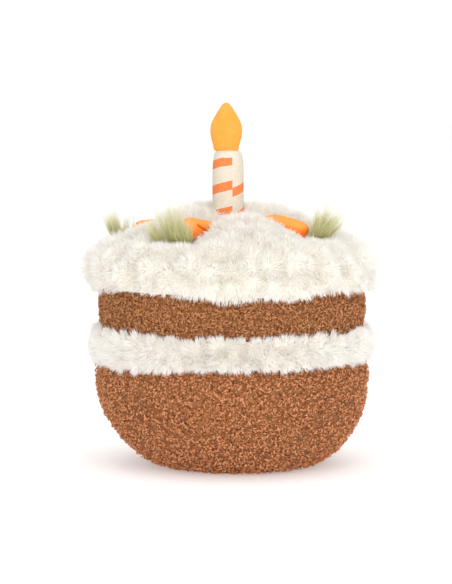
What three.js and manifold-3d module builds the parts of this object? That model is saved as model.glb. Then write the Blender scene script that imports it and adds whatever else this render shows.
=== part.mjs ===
// A plush toy carrot cake: a stuffed cake of two curly brown cloth sponges, a fleecy cream filling that
// runs through it, a thick fleecy icing on top, four small stuffed carrots with pile leaves laid in a ring,
// and a stuffed cloth candle with its flame. Millimetres, +Z up, standing on the flat foot of the lower
// sponge at height 0. The side with the candle's seam and the nearest carrot faces -Y.
import * as THREE from "three";
import { mergeVertices } from "three/addons/utils/BufferGeometryUtils.js";
import Module from "manifold-3d";

const wasm = await Module();
wasm.setup();

const GAP = 0.3; // left between neighbours that touch

// The stack. Heights are those of the flat faces where the layers are sewn together.
const TOTAL_HEIGHT = 160;
const FILLING_LOW = 48;
const FILLING_HIGH = 60;
const ICING_LOW = 80.4;
const SPONGE_RADIUS = 60;
const UPPER_RADIUS = 58.4;
const BULGE_HEIGHT = 40; // where the lower sponge reaches its full radius
const FOOT_RADIUS = 29.5; // the flattened seat of the stuffed lower sponge
const FOOT_SHIFT = 2; // the foot bulges this far to the right

// The pile of the filling and of the icing hangs over the sponges beside it.
const FILLING_RADIUS = 62;
const FILLING_LOW_EDGE = 45.6;
const FILLING_HIGH_EDGE = 62.3;
const ICING_RADIUS = 63.5;
const ICING_EDGE = 77.2;
const ICING_SHIFT = -1.7; // the icing's rim and the toppings sit left of the sponges' axis
const DOME_TOP = 112.6;

// Toppings.
const CANDLE_TOP = 138.4;
const CANDLE_FOOT = 106; // the candle is sewn down in the icing's pile
const CANDLE_RADIUS = 6.95;
const FLAME_WIDTH = 14.7;
const FLAME_DEPTH = 8.4;
const FLAME_OUTLINE = [ // shares of its height and of its width, from the candle up to the round tip
  [0, 0.71],
  [0.09, 0.8],
  [0.2, 0.91],
  [0.32, 0.985],
  [0.42, 1],
  [0.52, 0.955],
  [0.61, 0.865],
  [0.69, 0.74],
  [0.77, 0.61],
  [0.85, 0.48],
  [0.92, 0.355],
  [0.97, 0.235],
  [0.993, 0.12],
];
const FLAME_SHIFT = -0.8;
const CARROT_LENGTH = 25;
const CARROT_RADIUS = 5.4;
// For each carrot: where its tip is (degrees from the front to the right, distance from the axis, height),
// the way it points (degrees from the front to the right, degrees that it drops towards its leaves), how
// far it presses the pile down, and its leaves: how far they start under its end, and their length.
const CARROTS = [
  { angle: -100, ring: 18.5, height: 107.6, heading: -100, slope: 15, dent: 4.5, leafDrop: 0.6, leaf: 13 },
  { angle: -9, ring: 13.3, height: 105.6, heading: -45, slope: 0, dent: 7, leafDrop: 2.3, leaf: 16 },
  { angle: 65, ring: 14, height: 110.2, heading: 65, slope: 15, dent: 6, leafDrop: 0.6, leaf: 13 },
  { angle: 162, ring: 16, height: 108.6, heading: 162, slope: 15, dent: 4.5, leafDrop: 0.6, leaf: 9.5 },
];
const LEAF_BLADES = 9;
const LEAF_FAN = 50; // degrees to each side

// Cloth surfaces.
const CURL_RELIEF = 0.6; // unevenness of the curly sponge cloth
const PILE_RELIEF = 3.6; // height of the pile's tufts
const PILE_TUFT = 11; // width of a tuft
const FRINGE_RELIEF = 1.5; // unevenness of the pile's free edges

// Sizes of the triangles.
const SPONGE_MESH = 5.4;
const PILE_MESH = 4.3;
const TRIM_MESH = 2.2;

const degrees = THREE.MathUtils.degToRad;
const smoothstep = THREE.MathUtils.smoothstep;

// A seeded source of numbers from 0 to 1.
function seeded(seed) {
  let state = seed >>> 0;
  return () => {
    state = (state + 0x6d2b79f5) >>> 0;
    let mixed = Math.imul(state ^ (state >>> 15), 1 | state);
    mixed = (mixed + Math.imul(mixed ^ (mixed >>> 7), 61 | mixed)) ^ mixed;
    return ((mixed ^ (mixed >>> 14)) >>> 0) / 4294967296;
  };
}

// A smooth uneven height of about -1 to 1 at a point: sine waves of the given width that cross each other.
function unevenness(seed, width) {
  const random = seeded(seed);
  const waves = Array.from({ length: 6 }, () => {
    const direction = new THREE.Vector3(random() - 0.5, random() - 0.5, random() - 0.5);
    return { direction: direction.setLength((Math.PI * 2) / width), phase: random() * Math.PI * 2 };
  });
  return (point) => {
    const sum = waves.reduce((total, wave) => total + Math.sin(point.dot(wave.direction) + wave.phase), 0);
    return sum / Math.sqrt(waves.length * 2);
  };
}

// Rounded tufts side by side over the surface that a profile turns: 1 on top of each, 0 in the dips.
function tufts(seed, width, profile) {
  const random = seeded(seed);
  const path = new THREE.Path(profile.map(([radius, height]) => new THREE.Vector2(radius, height)));
  const rows = Math.round(path.getLength() / width);
  const centres = [];
  for (let row = 0; row < rows; row += 1) {
    const around = Math.max(1, Math.round((Math.PI * 2 * path.getPoint((row + 0.5) / rows).x) / width));
    for (let i = 0; i < around; i += 1) {
      const at = path.getPoint((row + 0.5 + (random() - 0.5) * 0.6) / rows);
      const angle = ((i + row / 2 + (random() - 0.5) * 0.7) / around) * Math.PI * 2;
      centres.push(new THREE.Vector3(Math.cos(angle) * at.x, Math.sin(angle) * at.x, at.y));
    }
  }
  return (point) => {
    const nearest = Math.min(...centres.map((centre) => centre.distanceToSquared(point)));
    return Math.max(0, 1 - nearest / (width * width * 0.45));
  };
}

// A closed body of revolution about +Z, of even triangles of about the given size. Its profile of
// [radius, height] pairs starts and ends on the axis and passes the outside going up.
function turned(profile, size) {
  const rings = profile.map(([radius, height], row) => {
    const count = radius === 0 ? 1 : Math.max(6, Math.round((Math.PI * 2 * radius) / size));
    return Array.from({ length: count }, (_, i) => {
      const turn = (i + (row % 2) / 2) / count;
      const angle = turn * Math.PI * 2;
      return { turn, point: new THREE.Vector3(Math.cos(angle) * radius, Math.sin(angle) * radius, height) };
    });
  });
  const starts = rings.map((_, row) => rings.slice(0, row).reduce((total, ring) => total + ring.length, 0));
  const index = [];
  for (let row = 0; row + 1 < rings.length; row += 1) {
    const [low, high] = [rings[row], rings[row + 1]];
    const turnAt = (ring, i) => ring[i % ring.length].turn + Math.floor(i / ring.length);
    const lowAt = (i) => starts[row] + (i % low.length);
    const highAt = (i) => starts[row + 1] + (i % high.length);
    let i = 0;
    let j = 0;
    const lowEnd = low.length === 1 ? 0 : low.length;
    const highEnd = high.length === 1 ? 0 : high.length;
    while (i < lowEnd || j < highEnd) {
      if (j === highEnd || (i < lowEnd && turnAt(low, i + 1) <= turnAt(high, j + 1))) {
        index.push(lowAt(i), lowAt(i + 1), highAt(j));
        i += 1;
      } else {
        index.push(lowAt(i), highAt(j + 1), highAt(j));
        j += 1;
      }
    }
  }
  const geometry = new THREE.BufferGeometry().setFromPoints(rings.flat().map((vertex) => vertex.point));
  geometry.setIndex(index);
  geometry.computeVertexNormals();
  return geometry;
}

// Moves every vertex by the vector that moveAt gives for its point and normal.
function reshaped(geometry, moveAt) {
  const position = geometry.getAttribute("position");
  const normals = geometry.getAttribute("normal");
  const point = new THREE.Vector3();
  const normal = new THREE.Vector3();
  for (let i = 0; i < position.count; i += 1) {
    point.fromBufferAttribute(position, i);
    normal.fromBufferAttribute(normals, i);
    point.add(moveAt(point.clone(), normal.clone()));
    position.setXYZ(i, point.x, point.y, point.z);
  }
  return geometry;
}

// manifold-3d's solid of a closed geometry, and back.
function solidOf(geometry) {
  const bare = geometry.clone();
  for (const name of Object.keys(bare.attributes)) if (name !== "position") bare.deleteAttribute(name);
  const merged = mergeVertices(bare, 1e-4);
  return new wasm.Manifold(
    new wasm.Mesh({
      numProp: 3,
      vertProperties: merged.attributes.position.array,
      triVerts: new Uint32Array(merged.index.array),
    }),
  );
}

function geometryOf(solid) {
  const mesh = solid.getMesh();
  const geometry = new THREE.BufferGeometry();
  geometry.setAttribute("position", new THREE.BufferAttribute(new Float32Array(mesh.vertProperties), 3));
  geometry.setIndex(new THREE.BufferAttribute(new Uint32Array(mesh.triVerts), 1));
  geometry.computeVertexNormals();
  return geometry;
}

// The largest of the separate bodies in a solid.
const largestOf = (solid) => solid.decompose().sort((a, b) => b.volume() - a.volume())[0];

// The lower sponge swells from its flat foot to its full radius and tucks in a little under the filling.
function lowerSponge() {
  const top = FILLING_LOW - GAP;
  const steps = 11;
  const profile = [[0, 0]];
  for (let i = 0; i <= steps; i += 1) {
    const share = (i / steps) ** 1.7;
    const swell = (1 - (1 - share) ** 2) ** 0.61;
    profile.push([FOOT_RADIUS + (SPONGE_RADIUS - FOOT_RADIUS) * swell, BULGE_HEIGHT * share]);
  }
  profile.push([SPONGE_RADIUS, (BULGE_HEIGHT + top) / 2], [SPONGE_RADIUS - 0.9, top], [0, top]);
  const nubs = unevenness(11, 9);
  return reshaped(turned(profile, SPONGE_MESH), (point, normal) => {
    const bare = smoothstep(point.z, 0, 4) * (1 - smoothstep(point.z, BULGE_HEIGHT, FILLING_LOW_EDGE - 1));
    const move = normal.multiplyScalar(CURL_RELIEF * bare * nubs(point));
    move.x += FOOT_SHIFT * (1 - smoothstep(point.z, 0, 36));
    return move;
  });
}

// The upper sponge is a low drum whose side bulges slightly.
function upperSponge() {
  const low = FILLING_HIGH + GAP;
  const high = ICING_LOW - GAP;
  const middle = (low + high) / 2;
  const profile = [[0, low]];
  for (const share of [0, 0.2, 0.4, 0.6, 0.8, 1]) {
    profile.push([UPPER_RADIUS - 0.9 * (2 * share - 1) ** 2, low + (high - low) * share]);
  }
  profile.push([0, high]);
  const nubs = unevenness(23, 9);
  return reshaped(turned(profile, SPONGE_MESH), (point, normal) => {
    const bare = 1 - smoothstep(Math.abs(point.z - middle), 1.5, 5);
    return normal.multiplyScalar(CURL_RELIEF * bare * nubs(point));
  });
}

// The fleecy filling: a disc through the cake whose pile stands out at the side, over both sponges' edges.
function filling() {
  const outside = [
    [FILLING_RADIUS - 0.2, FILLING_LOW_EDGE],
    [FILLING_RADIUS + 0.2, FILLING_LOW_EDGE + 3.4],
    [FILLING_RADIUS, FILLING_LOW_EDGE + 6.8],
    [FILLING_RADIUS, FILLING_LOW_EDGE + 10.2],
    [FILLING_RADIUS - 0.4, FILLING_LOW_EDGE + 13.4],
    [UPPER_RADIUS + 1.2, FILLING_HIGH_EDGE],
  ];
  const profile = [
    [0, FILLING_LOW],
    [SPONGE_RADIUS + GAP, FILLING_LOW],
    [SPONGE_RADIUS + GAP, FILLING_LOW_EDGE + 0.4],
    ...outside,
    [UPPER_RADIUS - 0.1, FILLING_HIGH_EDGE - 0.4],
    [UPPER_RADIUS - 0.1, FILLING_HIGH],
    [0, FILLING_HIGH],
  ];
  const tuft = tufts(31, PILE_TUFT * 0.75, outside);
  const fringe = unevenness(37, 12);
  return reshaped(turned(profile, PILE_MESH), (point, normal) => {
    const edge = smoothstep(Math.abs(point.z - (FILLING_LOW + FILLING_HIGH) / 2), 6.1, 7.2);
    const outer = Math.hypot(point.x, point.y) > SPONGE_RADIUS + 0.5 ? 1 : 0;
    const move = normal.multiplyScalar(PILE_RELIEF * 0.55 * outer * (1 - edge) * tuft(point));
    move.z += edge * FRINGE_RELIEF * 0.6 * fringe(point);
    return move;
  });
}

// The icing's lower edge above or below its mean height, by the angle from the front in radians.
function drip(angle) {
  return 1.3 * Math.cos(2 * angle + 3.4) + 0.8 * Math.cos(5 * angle + 2.6) + 0.7 * Math.cos(11 * angle + 4.4);
}

// The level direction at an angle in degrees from the front to the right.
const levelWay = (angle) => new THREE.Vector3(Math.sin(degrees(angle)), -Math.cos(degrees(angle)), 0);

// The frame of one carrot: at its tip, with +X running down the crown towards its leaves.
function carrotPlace({ angle, ring, height, heading, slope }) {
  const along = levelWay(heading).multiplyScalar(Math.cos(degrees(slope)));
  along.z = -Math.sin(degrees(slope));
  const across = new THREE.Vector3(0, 0, 1).cross(levelWay(heading));
  const place = new THREE.Matrix4().makeBasis(along, across, along.clone().cross(across));
  return place.setPosition(levelWay(angle).multiplyScalar(ring).setZ(height));
}

// How far the carrots press the pile down at a point of the icing; their tips stay buried in it.
function dent(point) {
  const level = point.clone().setZ(0);
  const nearest = new THREE.Vector3();
  const depths = CARROTS.map((spot) => {
    const at = (along) => new THREE.Vector3(along, 0, 0).applyMatrix4(carrotPlace(spot)).setZ(0);
    new THREE.Line3(at(CARROT_LENGTH * 0.3), at(CARROT_LENGTH + 6)).closestPointToPoint(level, true, nearest);
    return spot.dent * Math.exp(-nearest.distanceToSquared(level) / 60);
  });
  return Math.max(...depths);
}

// The thick fleecy icing: a domed crown, a plump rim, and an uneven edge that hangs over the upper sponge.
function icing(grow = 0) {
  const stations = [
    [ICING_RADIUS - 2.6, ICING_EDGE],
    [ICING_RADIUS - 0.2, ICING_EDGE + 4],
    [ICING_RADIUS, ICING_EDGE + 9],
    [ICING_RADIUS - 0.9, ICING_EDGE + 15],
    [ICING_RADIUS - 4, ICING_EDGE + 20],
    [ICING_RADIUS - 10, ICING_EDGE + 23.3],
    [ICING_RADIUS - 20, ICING_EDGE + 26.8],
    [32, DOME_TOP - 3],
    [22, DOME_TOP - 0.6],
    [0, DOME_TOP],
  ].map(([radius, height]) => new THREE.Vector2(radius, height));
  const outside = new THREE.SplineCurve(stations).getSpacedPoints(25).map((at) => [Math.max(at.x, 0), at.y]);
  outside[outside.length - 1][0] = 0;
  const profile = [
    [0, ICING_LOW],
    [UPPER_RADIUS + GAP, ICING_LOW],
    [UPPER_RADIUS + GAP, ICING_EDGE + 0.4],
    ...outside,
  ];
  const tuft = tufts(41, PILE_TUFT, outside);
  const fringe = unevenness(47, 11);
  return reshaped(turned(profile, PILE_MESH), (point, normal) => {
    const radius = Math.hypot(point.x, point.y);
    const hanging = radius > UPPER_RADIUS ? 1 - smoothstep(point.z, ICING_EDGE + 1, ICING_LOW + 6) : 0;
    const inside = radius < UPPER_RADIUS + GAP + 0.1 && point.z < ICING_LOW + 0.1;
    const pile = PILE_RELIEF * (tuft(point) - 0.3) * (1 - hanging) + grow;
    const move = normal.clone().multiplyScalar(inside ? 0 : pile);
    move.z -= dent(point) * smoothstep(normal.z, 0.3, 0.8);
    move.x += ICING_SHIFT * smoothstep(point.z, ICING_LOW, ICING_LOW + 8);
    const edge = drip(Math.atan2(point.x, -point.y)) + 0.5 * FRINGE_RELIEF * fringe(point);
    const rise = Math.min(edge, ICING_LOW - ICING_EDGE - 0.8);
    move.z += inside && point.z > ICING_LOW - 0.1 ? 0 : hanging * rise;
    return move;
  });
}

// The stuffed cloth candle: a tube that narrows a little under its sewn-in flame.
function candle(grow = 0) {
  const radius = CANDLE_RADIUS + grow;
  const profile = [
    [0, CANDLE_FOOT - grow],
    [radius - 0.6, CANDLE_FOOT - grow],
    [radius, CANDLE_FOOT + 3],
    [radius, CANDLE_FOOT + 15],
    [radius - 0.1, CANDLE_TOP - 6.5],
    [radius - 0.5, CANDLE_TOP - 3],
    [radius - 1, CANDLE_TOP - 0.9],
    [radius - 1.6, CANDLE_TOP],
    [0, CANDLE_TOP],
  ];
  return turned(profile, TRIM_MESH);
}

// The flame: a flat stuffed teardrop that is widest below its middle.
function flame() {
  const low = CANDLE_TOP + GAP;
  const station = ([height, width]) => [(FLAME_WIDTH / 2) * width, low + (TOTAL_HEIGHT - low) * height];
  const profile = [[0, low], ...FLAME_OUTLINE.map(station), [0, TOTAL_HEIGHT]];
  return turned(profile, TRIM_MESH).scale(1, FLAME_DEPTH / FLAME_WIDTH, 1).translate(FLAME_SHIFT, 0, 0);
}

// A stuffed carrot along +X: its tip at the origin, its round thick end at CARROT_LENGTH.
function carrot(grow = 0) {
  const steps = 8;
  const round = CARROT_LENGTH * 0.18; // length of the rounded thick end
  const profile = [[0, -grow * 2]];
  for (let i = 1; i <= steps; i += 1) {
    const share = (i / steps) ** 1.2;
    profile.push([CARROT_RADIUS * share ** 0.62 + grow, (CARROT_LENGTH - round) * share]);
  }
  for (let i = 1; i < 4; i += 1) {
    const angle = (i / 4) * (Math.PI / 2);
    const along = CARROT_LENGTH - round + (round + grow) * Math.sin(angle);
    profile.push([CARROT_RADIUS * Math.cos(angle) + grow, along]);
  }
  profile.push([0, CARROT_LENGTH + grow]);
  return turned(profile, TRIM_MESH).rotateY(Math.PI / 2);
}

// The leaves along +X: a row of pile blades that rise and fan out from a flat root.
function leaves(seed, longest) {
  const random = seeded(seed);
  const root = turned([[0, -1], [0.7, -0.7], [1, 0], [0.7, 0.7], [0, 1]], 1).scale(3, 5.2, 2.2);
  let solid = solidOf(root);
  for (let i = 0; i < LEAF_BLADES; i += 1) {
    const share = (i / (LEAF_BLADES - 1)) * 2 - 1;
    const spread = share * degrees(LEAF_FAN) + (random() - 0.5) * 0.2;
    const rise = degrees(50 + 32 * random());
    const length = longest * (0.74 + 0.26 * random());
    const lock = [[0, 0], [1.7, 0.3], [1.5, length * 0.35], [0.8, length * 0.75], [0, length]];
    const blade = turned(lock, TRIM_MESH);
    blade.rotateX(-share * degrees(24)).rotateY(Math.PI / 2 - rise).rotateZ(spread * 0.5);
    solid = solid.add(solidOf(blade.translate(0.6 + 1.4 * random(), share * 4.3, -0.6)));
  }
  return geometryOf(solid);
}

// Where the leaves start on a carrot: at the thick end, level again.
function leafPlace(spot) {
  const level = new THREE.Matrix4().makeRotationY(-degrees(spot.slope));
  const atEnd = new THREE.Matrix4().makeTranslation(CARROT_LENGTH + 2.4, 0, -spot.leafDrop);
  return carrotPlace(spot).multiply(atEnd).multiply(level);
}

const cloth = (color, roughness) => new THREE.MeshStandardMaterial({ color, roughness, metalness: 0 });
const cake = new THREE.Group();
const toppings = new THREE.Group(); // what stands on the icing, on its axis
toppings.position.x = ICING_SHIFT;
cake.add(toppings);

const add = (group, name, geometry, material) => {
  const mesh = new THREE.Mesh(geometry, material);
  mesh.name = name;
  group.add(mesh);
  return mesh;
};

add(cake, "sponge_lower", lowerSponge(), cloth(0xab7049, 0.95));
add(cake, "cream_filling", filling(), cloth(0xf8f1e4, 0.95));
add(cake, "sponge_upper", upperSponge(), cloth(0xa26c45, 0.95));

// The icing is bedded round the candle and the carrots, which are sewn down in its pile.
const beddedCarrot = (spot) => solidOf(carrot(GAP).applyMatrix4(carrotPlace(spot)));
const sunk = CARROTS.reduce((all, spot) => all.add(beddedCarrot(spot)), solidOf(candle(GAP)));
const bedded = solidOf(icing()).subtract(sunk.translate([ICING_SHIFT, 0, 0]));
add(cake, "cream_icing", geometryOf(largestOf(bedded)), cloth(0xf4eee0, 0.95));

add(toppings, "candle", candle(), cloth(0xfaecdc, 0.85));
add(toppings, "candle_flame", flame(), cloth(0xfdbb56, 0.9));

// The leaves are cut to stand on the pile and against the end of their carrot.
const pileSurface = solidOf(icing(GAP)).translate([-ICING_SHIFT, 0, 0]);
CARROTS.forEach((spot, i) => {
  const tuft = solidOf(leaves(61 + i, spot.leaf).applyMatrix4(leafPlace(spot)));
  const standing = tuft.subtract(beddedCarrot(spot)).subtract(pileSurface);
  const mesh = add(toppings, `carrot_${i + 1}`, carrot(), cloth(0xfb8c3a, 0.9));
  mesh.applyMatrix4(carrotPlace(spot));
  add(toppings, `carrot_leaves_${i + 1}`, geometryOf(largestOf(standing)), cloth(0xbcb583, 0.95));
});

export default cake;
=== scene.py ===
"""A plush toy carrot cake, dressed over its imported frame.

Two stuffed sponges of curly brown cloth hold a shaggy cream filling between them. A shaggy icing covers
the top, and on it lie a ring of stuffed carrots with pile leaves and a stuffed cloth candle. Everything
is in metres, in the frame's own axes: +Z is up and the side that is looked at faces -Y.
"""

import logging
import math
from abc import ABC, abstractmethod
from collections.abc import Callable, Sequence
from dataclasses import dataclass, replace
from enum import Enum

import bpy
import numpy as np
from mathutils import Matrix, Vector
from mathutils.kdtree import KDTree


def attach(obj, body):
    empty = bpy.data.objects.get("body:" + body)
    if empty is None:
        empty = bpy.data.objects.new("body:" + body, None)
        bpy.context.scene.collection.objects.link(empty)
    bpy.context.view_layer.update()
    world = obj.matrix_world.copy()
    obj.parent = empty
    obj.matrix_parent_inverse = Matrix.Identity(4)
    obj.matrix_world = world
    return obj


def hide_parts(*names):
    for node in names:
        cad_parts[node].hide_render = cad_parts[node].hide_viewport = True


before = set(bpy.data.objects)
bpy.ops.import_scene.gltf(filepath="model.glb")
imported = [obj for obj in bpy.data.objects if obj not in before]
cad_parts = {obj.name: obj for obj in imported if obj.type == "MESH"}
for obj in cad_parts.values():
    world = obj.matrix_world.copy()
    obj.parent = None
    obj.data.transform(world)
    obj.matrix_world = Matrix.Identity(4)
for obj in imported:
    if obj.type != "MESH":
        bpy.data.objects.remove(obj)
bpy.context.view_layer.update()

LOG = logging.getLogger("plush_cake")
MM = 0.001
FOLD_SHADE = "fold"  # the attribute that says how deep in a fold a point lies, which the suede paints with painted shade
PALETTE = "OFBake"  # the UV map of a pile: across it the shade of a hair, up it the place along the hair
WAVE = 0.314  # a wave texture repeats every WAVE / scale metres
CANDLE_X = -1.7 * MM  # where the candle's axis stands, which the carrots lie round
CANDLE_RADIUS = 6.95 * MM
CANDLE_SEAM = 16.7  # degrees from the front, to the right
WHITE = (1.0, 1.0, 1.0, 1.0)
Array = np.ndarray
Span = tuple[float, float]  # where something starts and ends, or its least and its most
Mask = Callable[[Array, Array], Array]  # from points and their normals, which of them are meant
Comb = Callable[[Array], tuple[Array, Array, Array]]  # from points, the lean, length and cling of their hairs
Link = bpy.types.Node | bpy.types.NodeSocket


# ------------------------------------------------------------------------------------------- materials


def linear(colour: str) -> tuple[float, float, float, float]:
    """Turns an sRGB hex colour to the linear values that shaders take.

    Args:
        colour: six hex digits, such as "f4eee0".

    Returns:
        Red, green, blue and alpha from 0 to 1.
    """
    parts = [int(colour[at : at + 2], 16) / 255 for at in (0, 2, 4)]
    return (*(c / 12.92 if c <= 0.04045 else ((c + 0.055) / 1.055) ** 2.4 for c in parts), 1.0)


def node(tree: bpy.types.NodeTree, kind: str, links: dict[str | int, object] | None = None,
         stops: Sequence[tuple[float, str]] = (), **settings: object) -> bpy.types.Node:
    """Adds a node with its settings and links.

    Args:
        tree: the node tree that gets it.
        kind: the node's type without its "ShaderNode".
        links: for each input, by its name or number, a value, an output, or a node for its first output.
        stops: a colour ramp's places from 0 to 1 with their hex colours.
        settings: the node's own properties.

    Returns:
        The new node.
    """
    made = tree.nodes.new(f"ShaderNode{kind}")
    for name, value in settings.items():
        setattr(made, name, value)
    for name, value in (links or {}).items():
        if isinstance(value, bpy.types.Node):
            value = value.outputs[0]
        if isinstance(value, bpy.types.NodeSocket):
            tree.links.new(value, made.inputs[name])
        else:
            made.inputs[name].default_value = value
    if stops:
        elements = made.color_ramp.elements
        while len(elements) < len(stops):
            elements.new(0.5)
        for element, (place, colour) in zip(elements, stops):
            element.position = place
            element.color = linear(colour)
    return made


def blank(name: str) -> tuple[bpy.types.Material, bpy.types.NodeTree]:
    """Starts a node material.

    Args:
        name: the material's name.

    Returns:
        The material and its empty tree.
    """
    material = bpy.data.materials.new(name)
    material.use_nodes = True
    material.node_tree.nodes.clear()
    return material, material.node_tree


@dataclass(frozen=True)
class Cloth(ABC):
    """What every cloth here shares: a rough dielectric with a bloom of loose fibre ends."""

    name: str
    roughness: float = 0.9
    sheen: float = 0.05
    sheen_roughness: float = 0.6
    specular: float = 0.25
    ior: float = 1.45

    @abstractmethod
    def look(self, tree: bpy.types.NodeTree) -> tuple[Link, Link | None]:
        """Adds the nodes of the cloth's own pattern.

        Args:
            tree: the material's tree.

        Returns:
            Its colour, and its bumped normal if it has one.
        """

    def material(self) -> bpy.types.Material:
        """Makes the cloth's material."""
        material, tree = blank(self.name)
        colour, normal = self.look(tree)
        links = {"Base Color": colour, "Roughness": self.roughness, "IOR": self.ior,
                 "Specular IOR Level": self.specular, "Sheen Weight": self.sheen,
                 "Sheen Roughness": self.sheen_roughness}
        if normal is not None:
            links["Normal"] = normal
        node(tree, "OutputMaterial", {"Surface": node(tree, "BsdfPrincipled", links)})
        return material


@dataclass(frozen=True)
class PileFibre(Cloth):
    """Loose polyester fibre: each hair has a shade of its own, and its root is deeper than its tip, which in
    the leaves is the fibre's own colour and in the brown and cream piles is painted shade low among the
    hairs.
    """

    root: str = "f8f6f0"
    middle: str = "f9f7f3"
    tip: str = "faf8f6"
    deep: str = "f8f7f3"  # the tint of hairs with the lowest shade numbers: random tone, and in the boucle's curls also painted shade in the hollows between clumps

    def look(self, tree: bpy.types.NodeTree) -> tuple[Link, Link | None]:
        """Adds the fibre's shades, which follow the palette map.

        Args:
            tree: the material's tree.

        Returns:
            Its colour, and its bumped normal if it has one.
        """
        part = node(tree, "SeparateXYZ", {0: node(tree, "UVMap", uv_map=PALETTE)})
        shades = [(0.0, self.root), (0.45, self.middle), (1.0, self.tip)]
        along = node(tree, "ValToRGB", {0: part.outputs["Y"]}, shades)
        shade = node(tree, "ValToRGB", {0: part.outputs["X"]}, [(0.0, self.deep), (0.55, "ffffff")])
        both = node(tree, "Mix", {0: 1.0, 6: along, 7: shade}, data_type="RGBA", blend_type="MULTIPLY")
        return both.outputs[2], None


@dataclass(frozen=True)
class Backing(Cloth):
    """The knitted ground that a pile stands on: it only shows as a soft mottle between the hairs, and is
    painted deeper than them as painted shade.
    """

    # Painted shade: both are deeper than the hairs above them.
    low: str = "e5e0d4"
    high: str = "f0ece3"
    grain: float = 1.6 * MM  # width of the mottle

    def look(self, tree: bpy.types.NodeTree) -> tuple[Link, Link | None]:
        """Adds the mottle.

        Args:
            tree: the material's tree.

        Returns:
            Its colour, and its bumped normal if it has one.
        """
        place = node(tree, "TexCoord").outputs["Object"]
        links = {"Vector": place, "Scale": 1 / self.grain, "Detail": 3.0, "Roughness": 0.6}
        mottle = node(tree, "TexNoise", links).outputs["Fac"]
        colour = node(tree, "ValToRGB", {0: mottle}, [(0.35, self.low), (0.65, self.high)])
        return colour, node(tree, "Bump", {"Strength": 0.8, "Distance": 0.4 * MM, "Height": mottle})


@dataclass(frozen=True)
class CurlyGround(Cloth):
    """The lower curls of a boucle cloth, which show between the top ones as short strokes and deep gaps; the
    gaps are painted dark as painted shade.
    """

    # painted shade in the gaps between the lower curls
    gap_shade: str = "4a2b12"
    curl: str = "9d6238"
    light: str = "cf9163"
    stroke: float = 1.0 * MM  # width of a curl

    def look(self, tree: bpy.types.NodeTree) -> tuple[Link, Link | None]:
        """Adds the strokes.

        Args:
            tree: the material's tree.

        Returns:
            Its colour, and its bumped normal if it has one.
        """
        place = node(tree, "TexCoord").outputs["Object"]
        links = {"Vector": place, "Scale": 1 / self.stroke, "Detail": 2.5, "Roughness": 0.55,
                 "Distortion": 1.6}
        strokes = node(tree, "TexNoise", links).outputs["Fac"]
        shades = [(0.34, self.gap_shade), (0.52, self.curl), (0.7, self.light)]
        colour = node(tree, "ValToRGB", {0: strokes}, shades)
        return colour, node(tree, "Bump", {"Strength": 1.0, "Distance": 0.9 * MM, "Height": strokes})


@dataclass(frozen=True)
class BrushedCloth(Cloth):
    """Felt or suede cloth: its nap lies in lighter and deeper patches over a fine rib, with painted top light
    where it faces up and painted shade in its folds.
    """

    deep: str = "f08a2a"
    light: str = "ffb35c"
    patch: float = 5 * MM  # width of the patches where the nap lies one way
    fuzz: float = 4 / 7 * MM  # width of the mottle that loose fibre ends make
    fuzz_share: float = 0.45
    rib: float = 0.9 * MM  # spacing of the rib; finer in the real cloth, and drawn so that it shows
    rib_share: float = 0.12
    painted_top_light: float = 0.0  # painted top light: how much lighter the cloth is painted where it faces up
    fold: str = "dc5608"  # painted shade in the bottom of a fold

    def look(self, tree: bpy.types.NodeTree) -> tuple[Link, Link | None]:
        """Adds the nap, the rib, the painted top light and the painted shade in the folds.

        Args:
            tree: the material's tree.

        Returns:
            Its colour, and its bumped normal if it has one.
        """
        place = node(tree, "TexCoord").outputs["Object"]
        nap = node(tree, "TexNoise", {"Vector": place, "Scale": 1 / self.patch, "Detail": 4.0})
        fuzz = node(tree, "TexNoise", {"Vector": place, "Scale": 1 / self.fuzz, "Detail": 2.0})
        links = {"Vector": place, "Scale": WAVE / self.rib, "Distortion": 1.5, "Detail": 1.0}
        ribs = node(tree, "TexWave", links, bands_direction="Z")
        links = {0: self.fuzz_share, 2: nap.outputs["Fac"], 3: fuzz.outputs["Fac"]}
        mixed = node(tree, "Mix", links, data_type="FLOAT")
        ribbed = node(tree, "Mix", {0: self.rib_share, 2: mixed, 3: ribs.outputs["Fac"]}, data_type="FLOAT")
        # Painted top light: the cloth is painted lighter where its normal points up.
        facing = node(tree, "SeparateXYZ", {0: node(tree, "NewGeometry").outputs["Normal"]}).outputs["Z"]
        lit_from_above = node(tree, "Math", {0: facing, 1: self.painted_top_light, 2: ribbed}, operation="MULTIPLY_ADD")
        nap_with_painted_light = node(tree, "ValToRGB", {0: lit_from_above}, [(0.25, self.deep), (0.75, self.light)])
        # Painted shade: the bottom of a fold is painted deeper.
        fold = node(tree, "Attribute", attribute_name=FOLD_SHADE, attribute_type="GEOMETRY").outputs["Fac"]
        colour = node(tree, "Mix", {0: fold, 6: nap_with_painted_light, 7: linear(self.fold)}, data_type="RGBA").outputs[2]
        return colour, node(tree, "Bump", {"Strength": 0.5, "Distance": 0.25 * MM, "Height": ribbed})


@dataclass(frozen=True)
class Panel:
    """The print on one of the two panels of the candle's sleeve."""

    height: float  # the middle of a stripe where it meets the seam
    slant: float  # how much a stripe rises for its way round
    top: float = 1.0  # no stripe is printed above this height


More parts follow.
